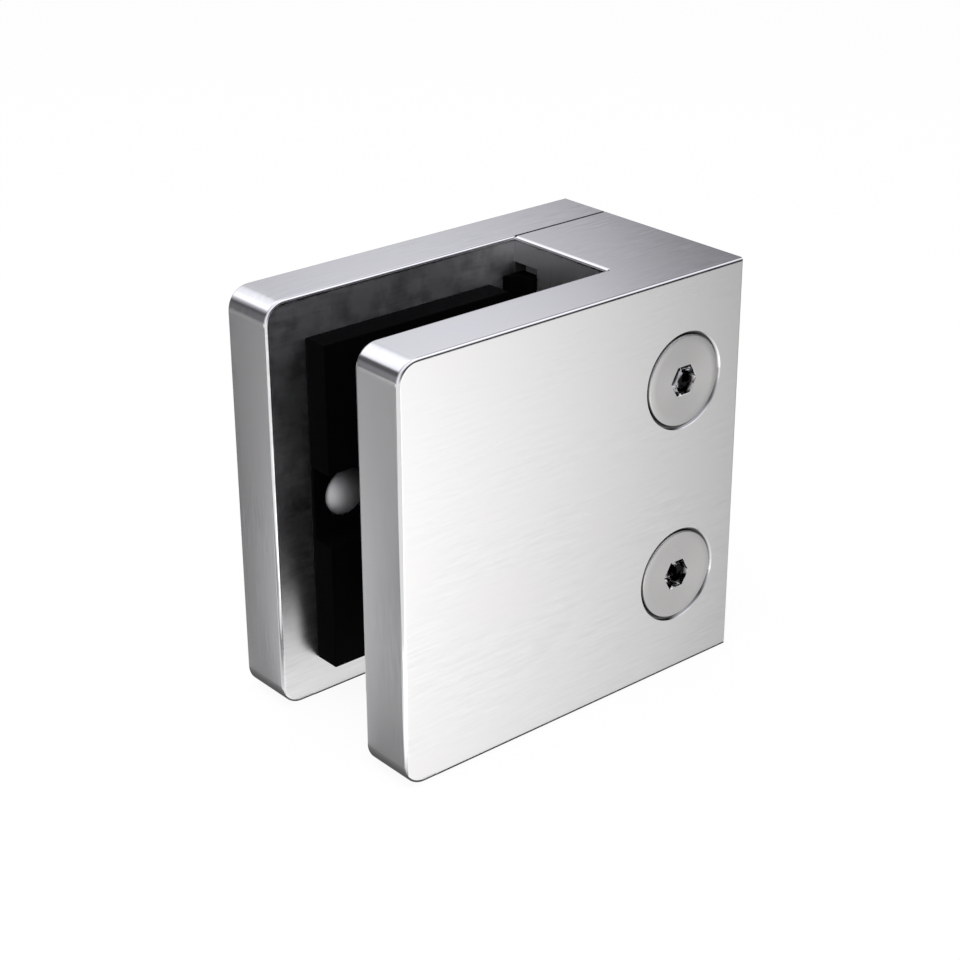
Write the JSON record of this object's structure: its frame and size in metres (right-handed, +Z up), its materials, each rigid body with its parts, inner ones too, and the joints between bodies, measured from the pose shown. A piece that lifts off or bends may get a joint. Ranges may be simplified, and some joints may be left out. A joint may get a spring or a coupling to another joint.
{
  "type": "glass clamp",
  "caption": "Square flat-backed glass clamp: a rear jaw plate is screwed to an L-shaped front jaw and spine, and rubber pads grip the glass.",
  "frame": {"origin": "on the axis of the fixing hole, in the flat back that meets the wall or post, which is also half height and the middle plane of the glass", "axes": "+X out of the flat back, towards the wall; the jaws reach to -X; -Y towards the face with the screw heads; +Z up, along the edge of the glass"},
  "size_m": [0.045, 0.027, 0.045],
  "materials": {
    "brushed_stainless": "satin brushed",
    "turned_stainless": "turned, satin",
    "black_rubber": "matt moulded"
  },
  "bodies": {
    "clamp_body": {"front_body": "brushed_stainless", "front_pad": "black_rubber", "front_pad_pin": "turned_stainless"},
    "rear_jaw": {"rear_plate": "brushed_stainless", "rear_pad": "black_rubber", "rear_pad_pin": "turned_stainless"},
    "upper_screw": {"upper_screw": "turned_stainless"},
    "lower_screw": {"lower_screw": "turned_stainless"}
  },
  "joints": [
    {"name": "jaw_release", "type": "slide", "parent": "clamp_body", "child": "rear_jaw", "axis": [0, 1, 0], "range_m": [0, 0.004]},
    {"name": "upper_screw_turn", "type": "hinge", "parent": "clamp_body", "child": "upper_screw", "pos_m": [-0.008, -0.0135, 0.0111], "axis": [0, -1, 0], "range_deg": [0, 1800]},
    {"name": "lower_screw_turn", "type": "hinge", "parent": "clamp_body", "child": "lower_screw", "pos_m": [-0.008, -0.0135, -0.0111], "axis": [0, -1, 0], "range_deg": [0, 1800]}
  ],
  "couplings": [
    {"joint": "upper_screw_turn", "follows": "jaw_release", "rad_per_m": 7854},
    {"joint": "lower_screw_turn", "follows": "jaw_release", "rad_per_m": 7854}
  ]
}
